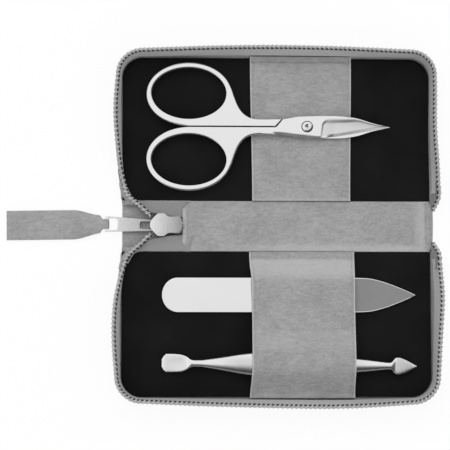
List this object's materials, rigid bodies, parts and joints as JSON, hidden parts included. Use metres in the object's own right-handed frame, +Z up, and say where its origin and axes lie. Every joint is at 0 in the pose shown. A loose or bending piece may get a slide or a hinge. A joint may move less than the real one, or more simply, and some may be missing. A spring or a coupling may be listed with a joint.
{
  "type": "manicure set case",
  "caption": "Leather zip case lying open flat, two trays joined by a folding spine, holding scissors, a nail file and a cuticle pusher under straps.",
  "frame": {"origin": "middle of the spine's underside", "axes": "+X along the case to the right, away from the pull tab; +Y towards the upper half with the scissors; +Z up out of the open case"},
  "size_m": [0.1612, 0.134, 0.0117],
  "materials": {
    "grey_leather": "fine-grained, semi-matt",
    "black_lining": "short-napped, matt",
    "stiff_board": "plain stiffener sheet",
    "zip_tape": "woven tape",
    "silver_coil": "silver-coated nylon coil",
    "polished_steel": "satin to mirror polished",
    "plated_zinc": "plated, semi-bright"
  },
  "bodies": {
    "lower_half": {"lower_cover": "grey_leather", "lower_board": "stiff_board", "lower_lining": "black_lining", "lower_wall": "grey_leather", "lower_zip_tape": "zip_tape", "lower_zip_teeth": "silver_coil", "lower_strap": "grey_leather"},
    "spine": {"spine_cover": "grey_leather", "spine_filler": "stiff_board", "spine_lining": "grey_leather", "lower_chain_end": "silver_coil", "lower_tape_end": "zip_tape", "lower_zip_tail": "silver_coil", "upper_chain_end": "silver_coil", "upper_tape_end": "zip_tape", "upper_zip_tail": "silver_coil"},
    "upper_half": {"upper_cover": "grey_leather", "upper_board": "stiff_board", "upper_lining": "black_lining", "upper_wall": "grey_leather", "upper_zip_tape": "zip_tape", "upper_zip_teeth": "silver_coil", "upper_strap": "grey_leather"},
    "slider": {"zip_slider": "plated_zinc"},
    "puller": {"zip_puller": "plated_zinc"},
    "tab": {"pull_tab": "grey_leather"},
    "scissors": {"scissor_back": "polished_steel", "pivot_screw": "polished_steel"},
    "scissors_front": {"scissor_front": "polished_steel"},
    "file": {"nail_file": "polished_steel"},
    "pusher": {"cuticle_pusher": "polished_steel"}
  },
  "joints": [
    {"name": "spine_fold", "type": "hinge", "parent": "lower_half", "child": "spine", "pos_m": [0, -0.0093, 0.0028], "axis": [1, 0, 0], "range_deg": [0, 90], "deforming": ["lower_chain_end", "lower_tape_end", "lower_zip_tail"]},
    {"name": "upper_fold", "type": "hinge", "parent": "spine", "child": "upper_half", "pos_m": [0, 0.0093, 0.0028], "axis": [1, 0, 0], "range_deg": [0, 90], "deforming": ["upper_chain_end", "upper_tape_end", "upper_zip_tail"]},
    {"name": "slider_run", "type": "slide", "parent": "spine", "child": "slider", "axis": [1, 0, 0], "range_m": [-0.0085, 0]},
    {"name": "puller_lift", "type": "hinge", "parent": "slider", "child": "puller", "pos_m": [-0.0457, 0.0002, 0.0025], "axis": [-0.03, -0.9996, 0], "range_deg": [-25, 0]},
    {"name": "tab_lift", "type": "hinge", "parent": "puller", "child": "tab", "pos_m": [-0.06324, 0.00073, 0.0025], "axis": [0.015, -0.9999, 0], "range_deg": [-80, 0]},
    {"name": "scissors_lift", "type": "slide", "parent": "upper_half", "child": "scissors", "axis": [0, 0, -1], "range_m": [-0.04, 0]},
    {"name": "scissors_open", "type": "hinge", "parent": "scissors", "child": "scissors_front", "pos_m": [0.01138, 0.0369, 0.00565], "axis": [0, 0, 1], "range_deg": [0, 50]},
    {"name": "file_slide", "type": "slide", "parent": "lower_half", "child": "file", "axis": [1, 0, 0], "range_m": [-0.0145, 0.005]},
    {"name": "pusher_slide", "type": "slide", "parent": "lower_half", "child": "pusher", "axis": [0.9999, -0.0133, 0], "range_m": [-0.0135, 0.005]}
  ],
  "couplings": [
    {"joint": "scissors_open", "follows": "scissors_lift", "rad_per_m": -21.8}
  ]
}
